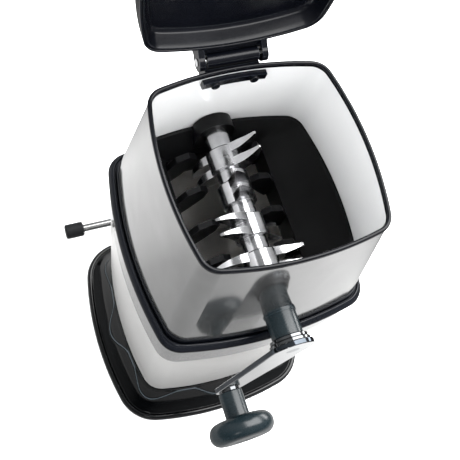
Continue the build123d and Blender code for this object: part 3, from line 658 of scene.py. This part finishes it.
def edge_ring(out, rise):
    """Ring along the beaded edge of the apron."""
    def at(angle):
        radius = apron_radius(angle) + out
        return radius, flare_height(angle, radius) + rise
    return at


def apron_ring(share):
    """Ring on the apron: share 0 inside its edge, 1 where the neck's fillet starts."""
    def at(angle):
        neck = bowed_radius(angle, NECK_HALF + NECK_FILLET, BODY_CORNER, BOW * NECK_HALF)
        outer = max(apron_radius(angle) + EDGE[-1][0], neck)
        radius = outer + (neck - outer) * share
        return radius, min(flare_height(angle, radius) + APRON_STEP, APRON_TOP_Z)
    return at


def base_rings():
    """Rings of the pedestal, and the number of the first one on the apron's edge."""
    rings = [base_ring(inset, z) for inset, z in rounded(LIP, LIP_ROUND)]
    rings += [flare_ring(i / FLARE_STEPS) for i in range(FLARE_STEPS + 1)]
    edge = len(rings) - 1
    rings += [edge_ring(out, rise) for out, rise in EDGE[1:]]
    rings += [apron_ring(i / APRON_STEPS) for i in range(1, APRON_STEPS + 1)]
    rings += [ring(z, NECK_HALF + grow, BODY_CORNER + grow) for z, grow in NECK]
    rings += [ring(z, half, corner) for z, half, corner in RECESS]
    rings += [base_ring(inset, z) for inset, z in UNDERSIDE]
    return rings, edge


rings, edge = base_rings()
# the apron's edge gets the paler stripe, a painted highlight
stripe = ("base_edge_painted_highlight", edge + EDGE_HIGHLIGHT_STRIPE[0], edge + EDGE_HIGHLIGHT_STRIPE[1])
pedestal = shell("pedestal", rings, "base_black", stripes=[stripe])
bore_start, bore_end = [(0, y, LEVER_Z) for y in LEVER_BORE_Y]
base = bored(pedestal, LEVER_BORE_R, bore_start, bore_end)
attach(base, "base")
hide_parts("base_shell")


# ---------------------------------------------------------------- band
# A glossy slope between a thin groove at its top and a rounded lower edge; the groove and the lower edge are
# a darker, duller black, as painted shade.

BAND_HALF, BAND_FOOT_Z, _ = extent("band")
_, HOPPER_FOOT_Z, HOPPER_TOP_Z = extent("hopper_shell")
HOPPER_FOOT_HALF, HOPPER_TOP_HALF = 65.4, 55.3
HOPPER_CORNER = 13.4
WALL_GAP = 0.02          # between the band's inner face and the hopper's wall
WALL_TOP_Z = 186.3       # top of the band's inner face
CORNER_SHARPENING = 0.26

# (inset, rise over the band's foot)
BAND_EDGE = [(0.8, 0.0), (0.5, 0.1), (0.2, 0.35), (0.04, 0.8), (0.0, 1.3)]
BAND_SLOPE = [(0.12, 1.9), (0.45, 2.6), (0.9, 3.4), (1.35, 4.2), (1.8, 5.0), (2.2, 5.6), (2.5, 5.95)]
BAND_GROOVE = [(2.75, 6.05), (2.95, 6.0), (3.15, 5.4), (3.25, 4.7), (3.4, 4.35), (3.55, 4.3), (3.7, 4.4),
               (3.85, 4.9), (4.1, 6.1), (4.45, 8.8), (4.55, 9.2), (4.75, 9.4), (5.0, 9.42)]


def wall_ring(z):
    """Ring on the hopper's wall, which narrows upwards."""
    share = (z - HOPPER_FOOT_Z) / (HOPPER_TOP_Z - HOPPER_FOOT_Z)
    half = HOPPER_FOOT_HALF + share * (HOPPER_TOP_HALF - HOPPER_FOOT_HALF)
    return ring(z, half + WALL_GAP, HOPPER_CORNER)


profile = BAND_EDGE + BAND_SLOPE + BAND_GROOVE
rings = inset_rings(profile, BAND_HALF, BODY_CORNER, BAND_FOOT_Z, CORNER_SHARPENING)
rings += [wall_ring(WALL_TOP_Z), wall_ring(BAND_FOOT_Z)]
# painted shade: the groove and the lower edge take the darker, duller lid black, and only the slope takes the
# glossier black
stripe = ("black_gloss", len(BAND_EDGE) + 1, len(BAND_EDGE) + len(BAND_SLOPE))
band = shell("moulded_band", rings, "lid_black", stripes=[stripe])
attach(band, "head")
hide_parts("band")


# ---------------------------------------------------------------- rim
# A slim round bead clipped over the edge of the steel.

RIM_HALF, RIM_FOOT_Z, _ = extent("rim_ring")
RIM_CORNER = 11.4
# (inset, rise over the rim's foot): up the outside, over the top, down the inside, and round the steel's edge
RIM = [(0.35, 0.0), (0.15, 0.1), (0.02, 0.4), (0.0, 0.9), (0.0, 1.9), (0.08, 2.35), (0.28, 2.7), (0.58, 2.95),
       (0.95, 3.08), (1.2, 3.1), (1.5, 3.06), (1.8, 2.9), (2.05, 2.65), (2.22, 2.3), (2.3, 1.9), (2.3, 0.6),
       (2.22, 0.2), (2.0, 0.0), (1.65, 0.0), (1.7, 1.62), (0.5, 1.62), (0.4, 0.05)]

rim = shell("rim_bead", inset_rings(RIM, RIM_HALF, RIM_CORNER, RIM_FOOT_Z), "rim_black")
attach(rim, "head")
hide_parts("rim_ring")


# ---------------------------------------------------------------- lid
# A deep cover with a soft top edge, and a tray inside whose fillet catches the light. Both are drawn closed,
# with heights over the lid's lip, and swung open about the hinge.

HINGE = Vector(JOINTS["lid_hinge"]["pos_m"])
LID_OPEN = math.radians(JOINTS["lid_hinge"]["range_deg"][1])
LID_SHIFT = 0.5          # how far behind the hopper's middle the closed lid's middle lies
LID_HALF, LID_CORNER, LID_LIP_Z = 53.4, 12.4, 270.3
FILLET_STEPS = 8

COVER_DEPTH = 14.2
COVER_ROUND = 4.2
COVER_WALL = 0.5         # inset of the cover's wall below its round top edge
COVER_SLANT = 0.05       # further inset at the end of that edge
COVER_TOP = [(7.5, COVER_DEPTH), (5.6, COVER_DEPTH)]
COVER_LIP = [(0.3, 6.0), (0.05, 1.0), (0.02, 0.45), (0.14, 0.12), (0.42, 0.0), (0.85, 0.0), (1.12, 0.12),
             (1.28, 0.5), (1.85, 3.0)]
COVER_INSIDE = [(3.9, 11.6), (4.3, 11.9), (7.0, 11.9)]

TRAY_OUTSIDE = [(7.0, 11.7), (4.1, 11.7), (1.95, 3.0), (1.45, 0.75), (1.6, 0.5), (1.85, 0.4), (2.2, 0.4),
                (2.45, 0.5), (2.6, 0.8), (3.3, 3.0), (4.12, 5.6)]
TRAY_WALL = (4.62, 7.2)
TRAY_FLAT = (9.5, 9.6)
TRAY_REACH = 2.6         # how far inwards the tray's fillet reaches
TRAY_SLANT = 0.5         # further inset at the end of that fillet

swing = (Matrix.Translation(HINGE) @ Matrix.Rotation(-LID_OPEN, 4, "X")
         @ Matrix.Translation(-HINGE) @ Matrix.Translation((0, LID_SHIFT / MM, 0)))


def fillet_turns():
    """Shares of a quarter turn, and the angles they stand for."""
    return [(i / FILLET_STEPS, math.pi / 2 * i / FILLET_STEPS) for i in range(1, FILLET_STEPS + 1)]


def cover_fillet(share, angle):
    """Point on the cover's round top edge."""
    inset = COVER_WALL + COVER_ROUND * (1 - math.sin(angle)) + COVER_SLANT * share
    return inset, COVER_DEPTH - COVER_ROUND * (1 - math.cos(angle))


def tray_fillet(share, angle):
    """Point on the fillet between the tray's wall and its flat."""
    inset, height = TRAY_WALL
    inset += TRAY_SLANT * share + TRAY_REACH * (1 - math.cos(angle))
    return inset, height + (TRAY_FLAT[1] - height) * math.sin(angle)


cover = COVER_TOP + [cover_fillet(*turn) for turn in fillet_turns()] + COVER_LIP + COVER_INSIDE
lid = shell("lid_cover", inset_rings(cover, LID_HALF, LID_CORNER, LID_LIP_Z), "lid_black", True, swing)
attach(lid, "lid")
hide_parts("lid_shell")

tray = TRAY_OUTSIDE + [TRAY_WALL] + [tray_fillet(*turn) for turn in fillet_turns()] + [TRAY_FLAT]
liner = shell("lid_tray", inset_rings(tray, LID_HALF, LID_CORNER, LID_LIP_Z), "lid_black", True, swing)
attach(liner, "lid")
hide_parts("lid_liner")


# ---------------------------------------------------------------- stage and light, in metres

def sheet(name, half, height, finish):
    """A level square about the origin."""
    corners = ((-half, -half), (half, -half), (half, half), (-half, half))
    obj = add_mesh(name, [(x, y, height) for x, y in corners], [(0, 1, 2, 3)])
    obj.data.materials.append(finish.mat)
    return obj


floor = sheet("floor", half=4, height=0, finish=floor_paper())


def softbox(name, place, target, size, watts):
    """A rectangular lamp that faces its target."""
    lamp = bpy.data.lights.new(name, "AREA")
    lamp.shape = "RECTANGLE"
    lamp.size, lamp.size_y = size
    lamp.energy = watts
    obj = bpy.data.objects.new(name, lamp)
    obj.location = place
    obj.rotation_euler = (Vector(target) - Vector(place)).to_track_quat("-Z", "Y").to_euler()
    bpy.context.scene.collection.objects.link(obj)


softbox("key", place=(0.8, 0.12, 1.45), target=(0, 0, 0.15), size=(1.6, 1.7), watts=62)
softbox("low_right", place=(1.3, 0.42, 0.22), target=(0, 0, 0.13), size=(0.9, 0.35), watts=9)
softbox("front_left", place=(-0.7, -1.35, 1.0), target=(0, 0, 0.15), size=(0.3, 0.3), watts=1.5)

# The floor as the gloss sees it is a sheet shown only in reflections. GLOW is its brightness by distance from
# its middle. It fades towards the left (by X), the front (by Y) and the back right (by X + Y).
GLOW_MIDDLE = (-0.13, -0.13, 0)
GLOW = [(0.0, 0.45), (0.12, 0.55), (0.17, 0.7), (0.21, 1.05), (0.3, 1.4), (0.35, 1.3), (0.44, 0.55),
        (0.6, 0.4)]
FADE_LEFT = {"start": -0.6, "end": -0.33, "low": 0.1, "high": 1.0}
FADE_FRONT = {"start": -0.42, "end": -0.22, "low": 0.15, "high": 1.0}
FADE_BEHIND = {"start": 0.06, "end": 0.2, "low": 1.0, "high": 0.3}


def reflected_glow():
    """Light that is as bright as GLOW says, and less where it fades out."""
    f = Finish("reflected_floor")
    f.tree.nodes.remove(f.bsdf)
    away = f.node("ShaderNodeVectorMath", operation="DISTANCE")
    f.link(f.coords, away.inputs[0])
    away.inputs[1].default_value = GLOW_MIDDLE
    reach = GLOW[-1][0]
    brightest = max(strength for _, strength in GLOW)
    share = f.spread(away.outputs["Value"], 0.0, 1.0, start=0.0, end=reach)
    near = f.ramp(share, *[(distance / reach, strength / brightest) for distance, strength in GLOW])
    x, y, _ = f.split(f.coords)
    left = f.spread(x, **FADE_LEFT)
    front = f.spread(y, **FADE_FRONT)
    behind = f.spread(f.maths("ADD", x, y), **FADE_BEHIND)
    sides = f.maths("MULTIPLY", f.maths("MULTIPLY", left, front), behind)
    glow = f.node("ShaderNodeEmission")
    strength = f.maths("MULTIPLY", f.maths("MULTIPLY", near, brightest), sides)
    f.link(strength, glow.inputs["Strength"])
    f.link(glow.outputs["Emission"], f.out.inputs["Surface"])
    return f


reflected_floor = sheet("reflected_floor", half=3, height=0.0005, finish=reflected_glow())
reflected_floor.visible_camera = False
reflected_floor.visible_diffuse = False
reflected_floor.visible_shadow = False

# The room's light. Its strength in reflections rises with X + Y, from (X + Y, strength) to (X + Y, strength),
# and what it lights gets ROOM_LIGHT on top of that. Its colour changes from the horizon up to SKY_HEIGHT.
ROOM_LIGHT = 2.45
ROOM_DARK, ROOM_PALE = (-1.3, 0.02), (-0.5, 0.5)
SKY_HEIGHT = 0.45
SKY_HORIZON = (0.55, 0.56, 0.58, 1)
SKY_TOP = (0.97, 0.985, 1.0, 1)


def studio_sky():
    world = bpy.data.worlds.new("studio")
    world.use_nodes = True
    nodes = world.node_tree.nodes
    link = world.node_tree.links.new
    background = nodes["Background"]
    split = nodes.new("ShaderNodeSeparateXYZ")
    link(nodes.new("ShaderNodeTexCoord").outputs["Generated"], split.inputs["Vector"])

    fade = nodes.new("ShaderNodeValToRGB")
    horizon, top = fade.color_ramp.elements
    horizon.position, top.position = 0.0, SKY_HEIGHT
    horizon.color, top.color = SKY_HORIZON, SKY_TOP
    link(split.outputs["Z"], fade.inputs["Fac"])
    link(fade.outputs["Color"], background.inputs["Color"])

    diagonal = nodes.new("ShaderNodeMath")
    link(split.outputs["X"], diagonal.inputs[0])
    link(split.outputs["Y"], diagonal.inputs[1])
    seen = nodes.new("ShaderNodeMapRange")
    for end, numbers in (("Min", ROOM_DARK), ("Max", ROOM_PALE)):
        for socket, number in zip(("From " + end, "To " + end), numbers):
            seen.inputs[socket].default_value = number
    link(diagonal.outputs["Value"], seen.inputs["Value"])

    strength = nodes.new("ShaderNodeMath")
    strength.operation = "MULTIPLY_ADD"
    strength.inputs[1].default_value = ROOM_LIGHT
    link(nodes.new("ShaderNodeLightPath").outputs["Is Diffuse Ray"], strength.inputs[0])
    link(seen.outputs["Result"], strength.inputs[2])
    link(strength.outputs["Value"], background.inputs["Strength"])
    return world


bpy.context.scene.world = studio_sky()
bpy.context.scene.view_settings.view_transform = "Standard"


# ---------------------------------------------------------------- camera

SENSOR = 36
LENS = 62.27
NEAREST = 0.01
CAMERA_PLACE = Vector((-0.1419, -0.1516, 0.6094))
CAMERA_RIGHT = Vector((0.931, -0.313, 0.190))
CAMERA_BACK = Vector((-0.291, -0.318, 0.902))

camera_data = bpy.data.cameras.new("camera")
camera_data.sensor_width = SENSOR
camera_data.lens = LENS
camera_data.clip_start = NEAREST
camera = bpy.data.objects.new("camera", camera_data)
back = CAMERA_BACK.normalized()
up = back.cross(CAMERA_RIGHT.normalized()).normalized()
right = up.cross(back).normalized()
camera.matrix_world = Matrix((
    (right.x, up.x, back.x, CAMERA_PLACE.x),
    (right.y, up.y, back.y, CAMERA_PLACE.y),
    (right.z, up.z, back.z, CAMERA_PLACE.z),
    (0, 0, 0, 1)))
bpy.context.scene.collection.objects.link(camera)
bpy.context.scene.camera = camera
